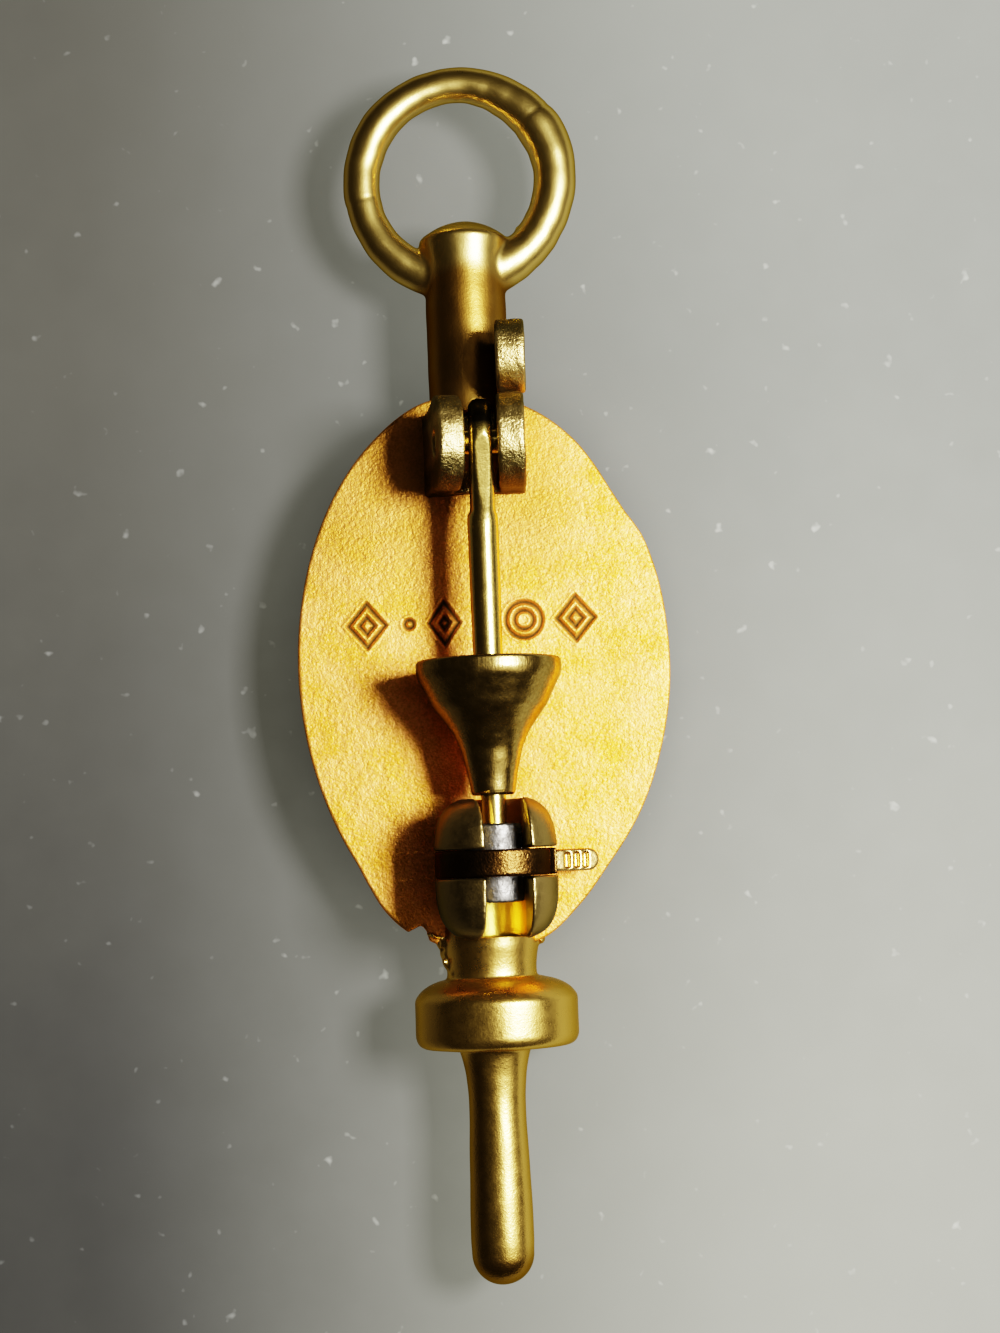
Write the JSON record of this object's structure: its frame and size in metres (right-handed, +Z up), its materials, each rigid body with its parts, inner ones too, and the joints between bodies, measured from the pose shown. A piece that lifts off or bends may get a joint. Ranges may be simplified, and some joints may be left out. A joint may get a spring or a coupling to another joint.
{
  "type": "lapel pin",
  "caption": "Gold key-shaped lapel pin seen from its pin side: oval plate, hanging ring, round stems, hinged pin with trumpet guard and turning safety catch.",
  "frame": {"origin": "on the table under the middle of the key, which lies face down", "axes": "+Y along the key towards the hanging ring, +Z up from the table through the pin side, +X to the side of the catch's thumb tab"},
  "size_m": [0.0116, 0.0385, 0.0077],
  "materials": {
    "polished_gold": "polished gold plate with a frosted back on the oval plate",
    "steel": "grey steel"
  },
  "bodies": {
    "key": {"key_body": "polished_gold", "hinge_rivet": "polished_gold"},
    "tongue": {"pin_tongue": "polished_gold", "pin_guard": "polished_gold"},
    "rotor": {"catch_rotor": "steel", "lever_ring": "polished_gold"}
  },
  "joints": [
    {"name": "pin_swing", "type": "hinge", "parent": "key", "child": "tongue", "pos_m": [0.00015, 0.00652, 0.0055], "axis": [-1, 0, 0], "range_deg": [0, 150]},
    {"name": "catch_turn", "type": "hinge", "parent": "key", "child": "rotor", "pos_m": [0.00015, -0.0063, 0.0055], "axis": [0, -1, 0], "range_deg": [0, 65]}
  ]
}
